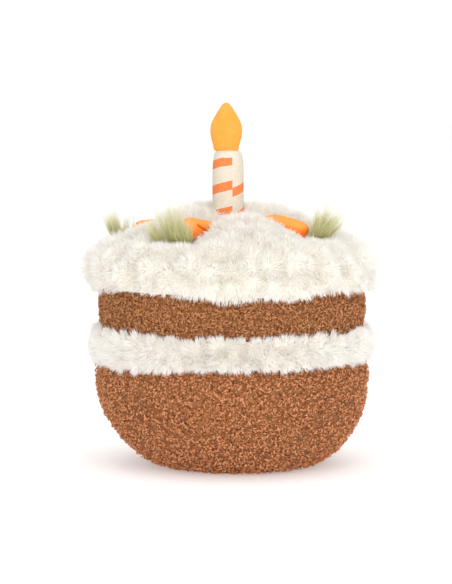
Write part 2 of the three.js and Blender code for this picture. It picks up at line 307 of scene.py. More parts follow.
@dataclass(frozen=True)
class StripedCotton(Cloth):
    """Plain woven cotton printed with slanting stripes, sewn to a tube from two panels that don't meet."""

    ground: str = "e3d9c8"
    shadow: str = "d9cdb9"
    stripe: str = "ea7a42"
    stripe_light: str = "f09256"
    pitch: float = 11.1 * MM
    width: float = 4.0 * MM
    left: Panel = Panel(height=123.9 * MM, slant=0.24)
    right: Panel = Panel(height=120.5 * MM, slant=0.36, top=127 * MM)
    bend: float = 1.1 * MM  # how far the gathered top pulls the highest stripe down beside the seam
    bend_from: float = 129 * MM
    bend_to: float = 136 * MM
    bend_width: float = 0.9  # radians to the left of the seam
    waver: float = 0.3 * MM  # how far the edges of the print stray
    waver_width: float = 2.5 * MM
    thread: float = 0.8 * MM  # thread spacing; about 0.4 mm in the real cloth, and drawn so that it shows
    slub: float = MM / 1.2  # width of the thicker places in the yarn
    slub_share: float = 0.88

    def level(self, tree: bpy.types.NodeTree, place: Link, turn: Link, up: Link) -> bpy.types.Node:
        """Adds the height that a place had on the cloth before the sleeve's top was gathered.

        Args:
            tree: the material's tree.
            place: the place on the candle.
            turn: its angle from the seam, in radians.
            up: its height, in metres.

        Returns:
            The height on the cloth, with the print's waver.
        """
        links = {"Value": up, "From Min": self.bend_from, "From Max": self.bend_to, "To Max": self.bend}
        gathered = node(tree, "MapRange", links, interpolation_type="SMOOTHSTEP")
        links = {"Value": turn, "From Min": -self.bend_width, "From Max": 0.0, "To Max": 1.0}
        beside = node(tree, "MapRange", links, interpolation_type="SMOOTHSTEP")
        level = node(tree, "Math", {0: gathered, 1: beside, 2: up}, operation="MULTIPLY_ADD")
        waver = node(tree, "TexNoise", {"Vector": place, "Scale": 1 / self.waver_width}).outputs["Fac"]
        return node(tree, "Math", {0: waver, 1: self.waver, 2: level}, operation="MULTIPLY_ADD")

    def stripes(self, tree: bpy.types.NodeTree, turn: Link, up: Link, level: Link, panel: Panel) -> Link:
        """Adds the stripes of one panel.

        Args:
            tree: the material's tree.
            turn: the angle from the seam, in radians.
            up: the height on the candle, in metres.
            level: the height on the cloth, in metres.
            panel: which panel.

        Returns:
            1 on a stripe and 0 beside it.
        """
        links = {0: turn, 1: -panel.slant * CANDLE_RADIUS, 2: level}
        slanted = node(tree, "Math", links, operation="MULTIPLY_ADD")
        shifted = node(tree, "Math", {0: slanted, 1: panel.height}, operation="SUBTRACT")
        away = node(tree, "Math", {0: shifted, 1: self.pitch / 2}, operation="PINGPONG")
        printed = node(tree, "Math", {0: away, 1: self.width / 2}, operation="LESS_THAN")
        under = node(tree, "Math", {0: up, 1: panel.top}, operation="LESS_THAN")
        return node(tree, "Math", {0: printed, 1: under}, operation="MULTIPLY")

    def look(self, tree: bpy.types.NodeTree) -> tuple[Link, Link | None]:
        """Adds the weave and the stripes printed on it.

        Args:
            tree: the material's tree.

        Returns:
            Its colour, and its bumped normal if it has one.
        """
        place = node(tree, "TexCoord").outputs["Object"]
        middle = node(tree, "VectorMath", {0: place, 1: (-CANDLE_X, 0, 0)}, operation="ADD")
        up = node(tree, "SeparateXYZ", {0: middle}).outputs["Z"]
        # From the front, an angle to the right is the arc tangent of x over -y; the seam is turned to 0.
        links = {0: middle, "Angle": -math.radians(CANDLE_SEAM)}
        flat = node(tree, "SeparateXYZ", {0: node(tree, "VectorRotate", links, rotation_type="Z_AXIS")})
        back = node(tree, "Math", {0: flat.outputs["Y"], 1: -1.0}, operation="MULTIPLY")
        turn = node(tree, "Math", {0: flat.outputs["X"], 1: back}, operation="ARCTAN2")
        level = self.level(tree, place, turn, up)
        left, right = (self.stripes(tree, turn, up, level, panel) for panel in (self.left, self.right))
        side = node(tree, "Math", {0: turn, 1: 0.0}, operation="GREATER_THAN")
        printed = node(tree, "Mix", {0: side, 2: left, 3: right}, data_type="FLOAT")
        warp = node(tree, "TexWave", {"Vector": place, "Scale": WAVE / self.thread}, bands_direction="Z")
        slub = node(tree, "TexNoise", {"Vector": place, "Scale": 1 / self.slub, "Detail": 3.0})
        links = {0: self.slub_share, 2: warp.outputs["Fac"], 3: slub.outputs["Fac"]}
        weave = node(tree, "Mix", links, data_type="FLOAT")
        ground = node(tree, "ValToRGB", {0: weave}, [(0.3, self.shadow), (0.6, self.ground)])
        ink = node(tree, "ValToRGB", {0: weave}, [(0.3, self.stripe), (0.75, self.stripe_light)])
        colour = node(tree, "Mix", {0: printed, 6: ground, 7: ink}, data_type="RGBA").outputs[2]
        return colour, node(tree, "Bump", {"Strength": 0.4, "Distance": 0.15 * MM, "Height": weave})


class Finish(Enum):
    """The finishes of the toy, each named for the real cloth."""

    # Boucle cloth, knitted from a looped polyester yarn: quite matt, light curls over deep brown gaps. The
    # gaps are partly the yarn's own brown and partly painted shade; the curls are painted deeper at one end
    # and in the hollows between clumps, also as painted shade, and the upper sponge's copy is deeper all
    # over.
    SPONGE_GROUND = CurlyGround("brown_boucle_ground", sheen=0.02)
    SPONGE_CURLS = PileFibre("brown_boucle_yarn", sheen=0.02, root="8c5029", middle="d79465",
                             tip="edaf80", deep="a87c3e")
    UPPER_CURLS = PileFibre("brown_boucle_yarn_upper", sheen=0.02, root="7f4a27", middle="c78b59",
                            tip="dda377", deep="a2783c")
    # Polyester fur, knitted and then sheared long: light gets through the hairs, so that they stay pale down
    # to their roots, and the knitted ground only shows between them, painted deeper than the hairs as painted
    # shade. The filling's copies are painted lighter, as painted light that makes up for the shade under the
    # icing's overhang.
    CREAM_GROUND = Backing("cream_knitted_ground")
    # Painted light: lighter than the icing's ground, to make up for the shade under the icing.
    FILLING_GROUND = Backing("cream_knitted_ground_filling", low="ece6d9", high="f6f3eb")
    CREAM_PILE = PileFibre("cream_polyester_pile")
    # Painted light: lighter than the icing's pile, to make up for the shade under the icing.
    FILLING_PILE = PileFibre("cream_polyester_pile_filling", root="fbf9f4", middle="fcfaf7",
                             tip="fcfbfa", deep="fbfaf7")
    # Plain woven cotton with a print that soaks in: dull, with its threads showing in both colours.
    CANDLE_COTTON = StripedCotton("striped_cotton", sheen=0.03)
    # Pressed felt: even and matt, with hardly a rib.
    FLAME_FELT = BrushedCloth("yellow_felt", sheen=0.05, deep="ee9c36", light="f6ad52", rib_share=0.06)
    # Suede cloth, knitted and brushed one way: painted lighter where it faces up and deeper at the sides, as
    # painted top light, and with painted shade in its fold.
    CARROT_SUEDE = BrushedCloth("orange_suede_cloth", sheen=0.02, deep="ff7800", light="ffa44e",
                                painted_top_light=0.45)
    # Long polyester pile, cut in tufts: green towards the roots of its hairs and nearly white at their tips.
    LEAF_PILE = PileFibre("green_polyester_pile", root="b4b066", middle="d8d7a0", tip="faf8ec",
                          deep="eae7c6")


_materials: dict[Finish, bpy.types.Material] = {}


def dress(piece: bpy.types.Object, finish: Finish) -> None:
    """Gives a piece its finish.

    Args:
        piece: the piece.
        finish: its finish; every piece with the same finish shares one material.
    """
    if finish not in _materials:
        _materials[finish] = finish.value.material()
    piece.data.materials.clear()
    piece.data.materials.append(_materials[finish])


# --------------------------------------------------------------------------------------- mesh helpers


def select_only(piece: bpy.types.Object) -> None:
    """Leaves one object selected and active.

    Args:
        piece: the object.
    """
    bpy.ops.object.select_all(action="DESELECT")
    piece.select_set(True)
    bpy.context.view_layer.objects.active = piece


def points_of(piece: bpy.types.Object) -> Array:
    """Reads a mesh's points.

    Args:
        piece: the object that has the mesh.

    Returns:
        The points, one row each.
    """
    points = np.empty(len(piece.data.vertices) * 3)
    piece.data.vertices.foreach_get("co", points)
    return points.reshape(-1, 3)


def move_points(piece: bpy.types.Object, points: Array) -> None:
    """Puts a mesh's points at new places."""
    piece.data.vertices.foreach_set("co", np.asarray(points, dtype=np.float64).ravel())
    piece.data.update()


def normals_of(piece: bpy.types.Object) -> Array:
    """Reads a mesh's normals at its points.

    Args:
        piece: the object that has the mesh.

    Returns:
        The normals, one row each.
    """
    normals = np.empty(len(piece.data.vertices) * 3)
    piece.data.vertex_normals.foreach_get("vector", normals)
    return normals.reshape(-1, 3)


def unit(vectors: Array) -> Array:
    """Returns vectors scaled to a length of 1."""
    return vectors / np.maximum(np.linalg.norm(vectors, axis=-1, keepdims=True), 1e-12)


def smoothstep(values: Array, low: float, high: float) -> Array:
    """Returns 0 below low, 1 above high and a smooth rise between them."""
    share = np.clip((values - low) / (high - low), 0, 1)
    return share * share * (3 - 2 * share)


def bump_at(values: Array, middle: float, width: float) -> Array:
    """Returns 1 at the middle, falling off smoothly on both sides."""
    return np.exp(-(((values - middle) / width) ** 2))


def angle_of(points: Array) -> Array:
    """Returns the degrees round the cake's axis at which points lie, from the front to the right."""
    return np.degrees(np.arctan2(points[:, 0], -points[:, 1]))


def from_upright(points: Array, x: float = 0.0, y: float = 0.0) -> Array:
    """Returns how far points are from an upright line, which is the cake's axis as a rule."""
    return np.hypot(points[:, 0] - x, points[:, 1] - y)


def outward(points: Array, normals: Array) -> Array:
    """Returns which points face away from the cake's axis."""
    return (points[:, :2] * normals[:, :2]).sum(axis=1) > 0


def apply_modifier(piece: bpy.types.Object, kind: str, **settings: object) -> None:
    """Adds a modifier and applies it.

    Args:
        piece: the piece that it shapes.
        kind: Blender's name of the modifier's type.
        settings: its properties.
    """
    select_only(piece)
    modifier = piece.modifiers.new(kind.lower(), kind)
    for name, value in settings.items():
        setattr(modifier, name, value)
    bpy.ops.object.modifier_apply(modifier=modifier.name)


def soften(piece: bpy.types.Object, times: int) -> None:
    """Smooths a mesh a number of times."""
    apply_modifier(piece, "SMOOTH", factor=0.5, iterations=times)


def refine(piece: bpy.types.Object) -> None:
    """Splits each face of a mesh into four and rounds them."""
    apply_modifier(piece, "SUBSURF", levels=1, render_levels=1)


def copy_of_node(name: str, piece_name: str, voxel: float) -> bpy.types.Object:
    """Makes a closed, even mesh in the shape of one of the frame's solids.

    Args:
        name: the frame's node.
        piece_name: the new piece's name.
        voxel: the width of its faces, in metres.

    Returns:
        The new piece, which has a mesh of its own.
    """
    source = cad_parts[name]
    piece = bpy.data.objects.new(piece_name, source.data.copy())
    bpy.context.collection.objects.link(piece)
    piece.data.materials.clear()
    select_only(piece)
    bpy.ops.object.mode_set(mode="EDIT")
    bpy.ops.mesh.select_all(action="SELECT")
    bpy.ops.mesh.remove_doubles(threshold=0.01 * MM)
    bpy.ops.mesh.normals_make_consistent(inside=False)
    bpy.ops.object.mode_set(mode="OBJECT")
    apply_modifier(piece, "REMESH", mode="VOXEL", voxel_size=voxel, use_smooth_shade=True)
    return piece


class Surface:
    """The faces of a mesh that a pile grows from."""

    def __init__(self, piece: bpy.types.Object, keep: Mask) -> None:
        """Reads the mesh.

        Args:
            piece: the backing.
            keep: from points and their normals, which of them carry pile.
        """
        mesh = piece.data
        mesh.calc_loop_triangles()
        triangles = np.empty(len(mesh.loop_triangles) * 3, dtype=np.int64)
        mesh.loop_triangles.foreach_get("vertices", triangles)
        self.points = points_of(piece)
        self.normals = normals_of(piece)
        triangles = triangles.reshape(-1, 3)
        middle = self.points[triangles].mean(axis=1)
        self.triangles = triangles[keep(middle, unit(self.normals[triangles].mean(axis=1)))]
        a, b, c = (self.points[self.triangles[:, i]] for i in range(3))
        self.areas = np.linalg.norm(np.cross(b - a, c - a), axis=1) / 2

    @property
    def area(self) -> float:
        """The whole area, in square metres."""
        return float(self.areas.sum())

    def scatter(self, count: int, rng: np.random.Generator) -> tuple[Array, Array]:
        """Spreads points evenly over the surface.

        Args:
            count: how many points.
            rng: the source of random numbers.

        Returns:
            The points and their normals, one row each.
        """
        heights = (np.arange(count) + rng.random(count)) / count * self.area
        at = np.minimum(np.searchsorted(np.cumsum(self.areas), heights), len(self.areas) - 1)
        picked = self.triangles[at]
        u, v = rng.random((2, count, 1))
        over = u + v > 1
        u, v = np.where(over, 1 - u, u), np.where(over, 1 - v, v)
        points = self._mix(self.points, picked, u, v)
        return points, unit(self._mix(self.normals, picked, u, v))

    @staticmethod
    def _mix(values: Array, corners: Array, u: Array, v: Array) -> Array:
        """Returns values at places inside triangles."""
        a, b, c = (values[corners[:, i]] for i in range(3))
        return a + (b - a) * u + (c - a) * v


def tree_of(points: Array) -> KDTree:
    """Sorts points so that the nearest of them are found fast.

    Args:
        points: one row each.

    Returns:
        The search tree.
    """
    tree = KDTree(len(points))
    for i, point in enumerate(points):
        tree.insert(Vector(point), i)
    tree.balance()
    return tree


def nearest(of: Array, among: Array) -> Array:
    """Returns, for each of some points, the row number of the nearest among others."""
    tree = tree_of(among)
    return np.array([tree.find(Vector(point))[1] for point in of])


def domes(of: Array, middles: Array) -> Array:
    """Measures round domes that stand side by side and meet halfway.

    Args:
        of: the points where they are measured, one row each.
        middles: the middle of each dome.

    Returns:
        For each point the height: 1 at the middle of a dome and 0 where two meet.
    """
    tree = tree_of(middles)
    near, second = np.array([[found[2] for found in tree.find_n(Vector(point), 2)] for point in of]).T
    return 1 - (1 - (second - near) / (second + near)) ** 2


def spindles(name: str, paths: Array, radii: Array, shades: Array) -> bpy.types.Object:
    """Makes one mesh of many bent hairs, each a closed spindle of six faces with a point at both ends.

    Args:
        name: the piece's name.
        paths: the start, the middle and the end of each hair, as hair, point, coordinate.
        radii: the radius in its middle, one for each hair.
        shades: a number from 0 to 1 for each hair, which its material reads.

    Returns:
        The new piece.
    """
    sides = 3
    along = unit(paths[:, 2] - paths[:, 0])
    across = unit(np.cross(along, np.roll(along, 1, axis=-1) + [0.3, -0.7, 0.5]))
    third = np.cross(along, across)
    angles = np.arange(sides)[:, None] / sides * 2 * math.pi
    circle = across[:, None] * np.cos(angles) + third[:, None] * np.sin(angles)
    around = paths[:, 1:2] + circle * radii[:, None, None]
    points = np.concatenate([paths[:, :1], around, paths[:, 2:]], axis=1)
    faces = []
    for side in range(1, sides + 1):
        after = side % sides + 1
        faces += [(0, after, side), (side, after, sides + 1)]
    place = np.array([0.0, 0.5, 0.5, 0.5, 1.0])
    return palette_mesh(name, points, np.array(faces), place, shades)


def palette_mesh(name: str, points: Array, faces: Array, place: Array, shades: Array) -> bpy.types.Object:
    """Makes one mesh of many small bodies that share their faces' order, with their palette map.

    Args:
        name: the piece's name.
        points: the corners of each body, as body, corner, coordinate.
        faces: the corners of each triangle of a body, one row each.
        place: for each corner, its place from 0 to 1 along the body.
        shades: a number from 0 to 1 for each body.

    Returns:
        The new piece.
    """
    count, corners = points.shape[:2]
    triangles = (faces[None] + np.arange(count)[:, None, None] * corners).reshape(-1, 3)
    palette = np.stack([np.repeat(shades, corners), np.tile(place, count)], axis=1) * 0.98 + 0.01
    mesh = bpy.data.meshes.new(name)
    mesh.vertices.add(count * corners)
    mesh.vertices.foreach_set("co", points.ravel())
    mesh.loops.add(triangles.size)
    mesh.loops.foreach_set("vertex_index", triangles.ravel())
    mesh.polygons.add(len(triangles))
    mesh.polygons.foreach_set("loop_start", np.arange(0, triangles.size, 3))
    mesh.polygons.foreach_set("use_smooth", np.zeros(len(triangles), dtype=bool))
    mesh.uv_layers.new(name=PALETTE).data.foreach_set("uv", palette[triangles.ravel()].ravel())
    mesh.update(calc_edges=True)
    piece = bpy.data.objects.new(name, mesh)
    bpy.context.collection.objects.link(piece)
    return piece


def slivers(name: str, roots: Array, tips: Array, side: Array, width: Array,
            shades: Array) -> bpy.types.Object:
    """Makes one mesh of many straight fine hairs, each a long thin closed wedge of four faces.

    Args:
        name: the piece's name.
        roots: where each hair starts, one row each.
        tips: where it ends.
        side: the way in which it bulges a little.
        width: how wide it is a third of the way up, one for each hair.
        shades: a number from 0 to 1 for each hair, which its material reads.

    Returns:
        The new piece.
    """
    widest = 0.36  # how far up a hair is widest
    along = unit(tips - roots)
    across = unit(np.cross(along, side))
    bulge = np.cross(across, along)
    belly = roots + (tips - roots) * widest + bulge * width[:, None] * 0.8
    half = across * width[:, None] / 2
    points = np.stack([roots, belly - half, belly + half, tips], axis=1)
    edge = points - points[:, :1]
    outside_in = np.einsum("ij,ij->i", np.cross(edge[:, 1], edge[:, 2]), edge[:, 3]) < 0
    points[outside_in, 1:3] = points[outside_in, 2:0:-1]
    faces = np.array([(0, 2, 1), (0, 1, 3), (1, 2, 3), (2, 0, 3)])
    place = np.array([0.0, widest, widest, 1.0])
    return palette_mesh(name, points, faces, place, shades)


# -------------------------------------------------------------------------------------- soft surfaces


@dataclass(frozen=True)
class Stuffing:
    """How the filling swells a sewn skin: Blender's cloth with pressure inside, at ten times the size."""

    pressure: float = 4.0
    frames: int = 16
    scale: float = 10.0

    def swell(self, piece: bpy.types.Object, cap: float, held: Mask) -> None:
        """Swells a piece and leaves the result in its mesh.

        Args:
            piece: a closed skin.
            cap: the furthest that a point may move, in metres.
            held: from points and their normals, which points are sewn down and stay.
        """
        start, normals = points_of(piece), normals_of(piece)
        move_points(piece, start * self.scale)
        group = piece.vertex_groups.new(name="sewn_down")
        group.add(np.flatnonzero(held(start, normals)).tolist(), 1.0, "REPLACE")
        modifier = piece.modifiers.new("stuffing", "CLOTH")
        settings = modifier.settings
        settings.use_pressure = True
        settings.uniform_pressure_force = self.pressure
        settings.effector_weights.gravity = 0.0
        settings.vertex_group_mass = group.name
        settings.quality = 5
        modifier.point_cache.frame_end = self.frames
        scene = bpy.context.scene
        for step in range(1, self.frames + 1):
            scene.frame_set(step)
        evaluated = piece.evaluated_get(bpy.context.evaluated_depsgraph_get())
        swollen = points_of(evaluated) / self.scale
        piece.modifiers.remove(modifier)
        piece.vertex_groups.remove(group)
        scene.frame_set(1)
        move = swollen - start
        reach = np.linalg.norm(move, axis=1, keepdims=True)
        move_points(piece, start + move * np.minimum(1, cap / np.maximum(reach, 1e-9)))


@dataclass(frozen=True)
class Pile:
    """Fine hairs in small locks over a lumpy ground; each range is the least and the most, as shares."""

    length: float  # of a hair
    width: float  # of a hair where it is widest
    hairs: int
    lumps: tuple[tuple[float, float], ...]  # spacing and height of the lumps, the large ones first
    lock: float = 1.9 * MM  # spacing of the locks
    sway: float = 0.24  # how differently the locks lean
    unruly: float = 0.2  # how far hairs stray from the way that their lock leans
    follow: float = 0.4  # how much of its way a hair takes from its lock
    lock_lengths: Span = (0.64, 1.2)
    hair_lengths: Span = (0.62, 1.1)
    hair_widths: Span = (0.75, 1.25)
    clings: Span = (0.4, 1.3)  # how closely hairs gather at the point of their lock
    rooted: float = 0.1 * MM  # how deep in the ground they start

    def swell(self, piece: bpy.types.Object, carries: Mask, seed: int,
              ease: Callable[[Array], Array]) -> None:
        """Raises round lumps on the ground.

        Args:
            piece: the ground.
            carries: which of its points carry pile.
            seed: picks the random numbers.
            ease: from points, the share of their height that the lumps have there.
        """
        rng = np.random.default_rng(seed)
        for spacing, rise in self.lumps:
            ground = Surface(piece, carries)
            middles = ground.scatter(max(8, int(ground.area / spacing**2)), rng)[0]
            points, normals = points_of(piece), normals_of(piece)
            height = rise * (domes(points, middles) - 0.45) * ease(points) * carries(points, normals)
            move_points(piece, points + normals * height[:, None])

    def grow(self, name: str, ground: Surface, comb: Comb, seed: int) -> bpy.types.Object:
        """Grows the pile.

        Args:
            name: the piece's name.
            ground: the surface that it stands on.
            comb: how the hairs lie; their length and cling are shares.
            seed: picks the random numbers.

        Returns:
            The new piece.
        """
        rng = np.random.default_rng(seed)
        locks, lock_normals = ground.scatter(int(ground.area / self.lock**2), rng)
        lock_lean, lock_long, _ = comb(locks)
        lock_way = unit(lock_normals + lock_lean + rng.normal(0, self.sway, locks.shape))
        lock_long = lock_long * rng.uniform(*self.lock_lengths, len(locks))
        lock_tips = locks + lock_way * (self.length * lock_long)[:, None] * 1.05
        lock_shades = rng.random(len(locks))
        roots, normals = ground.scatter(self.hairs, rng)
        count = len(roots)
        of_lock = nearest(roots, locks)
        lean, long, cling = comb(roots)
        way = unit(normals + lean) * (1 - self.follow) + lock_way[of_lock] * self.follow
        way = unit(way + rng.normal(0, self.unruly, roots.shape))
        long = 0.5 * long + 0.5 * lock_long[of_lock]
        tips = roots + way * (self.length * long * rng.uniform(*self.hair_lengths, count))[:, None]
        tips += (lock_tips[of_lock] - tips) * (cling * rng.uniform(*self.clings, count))[:, None]
        width = self.width * rng.uniform(*self.hair_widths, count)
        shades = np.clip(0.4 * lock_shades[of_lock] + 0.65 * rng.random(count), 0, 1)
        side = rng.normal(size=roots.shape)
        return slivers(name, roots - normals * self.rooted, tips, side, width, shades)


@dataclass(frozen=True)
class Curls:
    """Boucle yarn: short bent ends that stand out of the ground at every angle, in small clumps."""

    radius: float = 1.2 * MM  # of the bend
    thickness: float = 0.84 * MM  # of the yarn in the middle of an end
    count: int = 33000
    clump: float = 3.4 * MM  # spacing of the clumps
    rise: float = 1.8 * MM  # how far a clump's middle stands out
    proud: float = 1.2 * MM  # what would stand out further is pressed back
    pressed: float = 0.6  # by this share
    tilts: Span = (0.6, 1.57)  # radians that the axis of a bend leans away from the normal
    bends: Span = (0.7, 1.2)  # of the radius
    spans: Span = (1.5, 2.5)  # radians that a curl goes round its bend
    depths: Span = (-0.5, 0.4)  # of the radius
    yarns: Span = (0.8, 1.2)  # of the thickness

    def grow(self, name: str, ground: Surface, seed: int) -> bpy.types.Object:
        """Grows the curls.

        Args:
            name: the piece's name.
            ground: the surface that they stand on.
            seed: picks the random numbers.

        Returns:
            The new piece.
        """
        rng = np.random.default_rng(seed)
        roots, normals = ground.scatter(self.count, rng)
        tangent = unit(np.cross(normals, unit(rng.normal(size=roots.shape))))
        tilt = rng.uniform(*self.tilts, (self.count, 1))
        axis = unit(normals * np.cos(tilt) + tangent * np.sin(tilt))
        first = unit(np.cross(axis, unit(rng.normal(size=roots.shape))))
        second = np.cross(axis, first)
        bend = self.radius * rng.uniform(*self.bends, (self.count, 1, 1))
        span = rng.uniform(*self.spans, (self.count, 1, 1))
        turn = rng.uniform(0, 2 * math.pi, (self.count, 1, 1)) + span * np.linspace(0, 1, 3)[None, :, None]
        clumps = ground.scatter(int(ground.area / self.clump**2), rng)[0]
        raised = domes(roots, clumps)
        height = rng.uniform(*self.depths, (self.count, 1)) * self.radius
        height = height + self.rise * (raised[:, None] - 0.5)
        middle = (roots + normals * height)[:, None]
        paths = middle + bend * (first[:, None] * np.cos(turn) + second[:, None] * np.sin(turn))
        over = np.maximum(np.einsum("hpc,hc->hp", paths - roots[:, None], normals) - self.proud, 0)
        paths -= self.pressed * over[:, :, None] * normals[:, None]
        radii = self.thickness / 2 * rng.uniform(*self.yarns, self.count)
        # Painted shade: curls in the hollows between clumps get deeper tints; the rest of the shade is random
        # tone.
        shades = np.clip(0.7 * raised + 0.5 * rng.random(self.count), 0, 1)
        return spindles(name, paths, radii, shades)


# ------------------------------------------------------------------------------------- sub-assemblies


def fix(piece: bpy.types.Object, finish: Finish, stands_for: str | None = None) -> None:
    """Finishes a piece: its cloth and its place in the frame.

    Args:
        piece: the piece.
        finish: its finish.
        stands_for: the frame's node that it replaces.
    """
    dress(piece, finish)
    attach(piece, "root")
    if stands_for:
        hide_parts(stands_for)
    LOG.info("%s: %d faces", piece.name, len(piece.data.polygons))


@dataclass(frozen=True)
class Sponge:
    """A stuffed sponge: a swollen skin of knitted ground with boucle curls all over it."""

    node: str
    finish: Finish
    curls: Curls
    low_edge: float  # below this height the skin is covered or sewn to the next layer
    high_edge: float
    seed: int
    seam_radius: float = 60 * MM  # beside the fleece no curl stands out further
    loose: float = 9 * MM  # elsewhere none stands out further than this beyond that radius
    foot: float = 20 * MM  # what is lower belongs to the foot, which has no fleece beside it
    sewn: float = 2 * MM  # what is flat and nearer than this to an edge is sewn down
    voxel: float = 2.1 * MM
    sink: float = 1.1 * MM  # the skin lies this far under the curls' tops
    cap: float = 0.8 * MM
    stuffing: Stuffing = Stuffing()

    def skin(self) -> bpy.types.Object:
        """Makes the stuffed skin."""
        piece = copy_of_node(self.node, f"{self.node}_skin", self.voxel)
        points, normals = points_of(piece), normals_of(piece)
        side = (np.abs(normals[:, 2:]) < 0.9) | (points[:, 2:] < 10 * MM)
        move = normals * self.sink * side
        low = points[:, 2].min()
        move[points[:, 2] < low + 0.4 * MM, 2] = 0
        move_points(piece, points - move)
        self.stuffing.swell(piece, self.cap, self.held)
        refine(piece)
        return piece

    def held(self, points: Array, normals: Array) -> Array:
        """Returns which points are sewn to the next layer or stand on the ground."""
        flat = np.abs(normals[:, 2]) > 0.9
        top, bottom = self.high_edge - self.sewn, self.low_edge + self.sewn
        return flat & ((points[:, 2] > top) | (points[:, 2] < bottom))

    def carries_curls(self, points: Array, normals: Array) -> Array:
        """Finds what carries curls: the whole side and the underside.

        Args:
            points: places on the skin, one row each.
            normals: their normals.

        Returns:
            True where there are curls.
        """
        top = (normals[:, 2] > 0.8) & (points[:, 2] > self.high_edge - 3 * MM)
        seat = (normals[:, 2] < -0.8) & (points[:, 2] > self.foot)
        return ~(top | seat)

    def trim(self, curls: bpy.types.Object) -> None:
        """Presses the curls flat under the foot and holds them back beside the fleece.

        Args:
            curls: the sponge's curls.
        """
        points = points_of(curls)
        points[:, 2] = np.maximum(points[:, 2], 0.02 * MM)
        seam = np.maximum(smoothstep(points[:, 2], self.high_edge - 5 * MM, self.high_edge - 2.5 * MM),
                          1 - smoothstep(points[:, 2], self.low_edge + 2 * MM, self.low_edge + 4 * MM))
        most = self.seam_radius + (1 - seam * (points[:, 2] > self.foot)) * self.loose
        points[:, :2] *= np.minimum(1, most / np.maximum(from_upright(points), 1 * MM))[:, None]
        move_points(curls, points)

    def build(self) -> None:
        """Builds the skin and its curls."""
        skin = self.skin()
        curls = self.curls.grow(f"{self.node}_curls_1", Surface(skin, self.carries_curls), self.seed)
        self.trim(curls)
        fix(curls, self.finish)
        fix(skin, Finish.SPONGE_GROUND, self.node)


@dataclass(frozen=True)
class CreamFilling:
    """The filling: a disc through the cake with a shaggy pile round its edge."""

    node: str = "cream_filling"
    middle: float = 54 * MM
    inner: float = 54 * MM  # nothing nearer the axis carries pile
    low: float = 47.4 * MM
    high: float = 60.7 * MM
    ground: float = 57.6 * MM  # radius of the ground where it is sewn to the sponges
    bulge: float = 2.3 * MM  # how much further it stands out at its middle
    round_low: float = 2.4 * MM  # how far its lower edge is rounded off where it is combed flat
    round_high: float = 1.2 * MM
    rounded: Span = (55.5 * MM, 58.5 * MM)  # from the first of these radii its edges are rounded off
    reach: float = 6.8 * MM  # its edges are this far above and below its middle
    flat_right: Span = (-34 * MM, -16 * MM)  # in +X
    flat_front: Span = (-25 * MM, 5 * MM)  # in -Y
    pile: Pile = Pile(length=4.5 * MM, width=0.24 * MM, hairs=46500, lock=2.8 * MM,
                      lumps=((7 * MM, 1.3 * MM), (3.6 * MM, 0.7 * MM)))

    def core(self) -> bpy.types.Object:
        """Makes the ground under the pile."""
        piece = copy_of_node(self.node, f"{self.node}_core", 1.3 * MM)
        points = points_of(piece)
        radius = from_upright(points)
        bulge = self.bulge * (1 - ((points[:, 2] - self.middle) / (7 * MM)) ** 2)
        most = self.ground + np.maximum(bulge, 0)
        points[:, :2] *= (np.minimum(radius, most) / np.maximum(radius, 1 * MM))[:, None]
        edge = smoothstep(from_upright(points), *self.rounded)
        low = self.low + self.round_low * edge * self.flat(points)
        points[:, 2] = np.clip(points[:, 2], low, self.high - self.round_high * edge)
        move_points(piece, points)
        soften(piece, 4)
        return piece

    def flat(self, points: Array) -> Array:
        """Returns where the pile is combed flat: 1 at the front and the right, 0 at the left and the back."""
        return smoothstep(points[:, 0], *self.flat_right) * smoothstep(-points[:, 1], *self.flat_front)

    def carries_pile(self, points: Array, normals: Array) -> Array:
        """Finds what carries pile: the outside of the disc.

        Args:
            points: places on the ground, one row each.
            normals: their normals.

        Returns:
            True where there is pile.
        """
        radius = from_upright(points)
        edge = (np.abs(normals[:, 2]) < 0.85) | (radius > 57.5 * MM)
        return outward(points, normals) & (radius > self.inner) & edge

    def comb(self, points: Array) -> tuple[Array, Array, Array]:
        """Combs the pile up at its upper edge and down at its lower one.

        Args:
            points: the roots of hairs, one row each.

        Returns:
            Their lean, length and cling.
        """
        share = (points[:, 2] - self.middle) / self.reach
        lean = np.zeros_like(points)
        most = 0.7 - self.flat(points) * np.where(share < 0, 1.2, 0.4)
        lean[:, 2] = share * np.abs(share) * most
        edge = smoothstep(np.abs(share), 0.5, 1.0)
        return lean, 1 - 0.1 * edge * self.flat(points), 0.15 + 0.22 * edge

    def build(self) -> None:
        """Builds the core and its pile."""
        core = self.core()
        self.pile.swell(core, self.carries_pile, 300, lambda points: np.ones(len(points)))
        pile = self.pile.grow(f"{self.node}_pile", Surface(core, self.carries_pile), self.comb, 301)
        fix(pile, Finish.FILLING_PILE)
        fix(core, Finish.FILLING_GROUND, self.node)


@dataclass(frozen=True)
class Clump:
    """One root of a carrot's leaves."""

    out: float  # mm beyond the carrot's end
    side: float  # mm to the side of it
    lean: float  # how far it leans to +X for its height
    share: float = 1.0  # how many of the hairs it has
    tall: float = 1.0  # how long they are


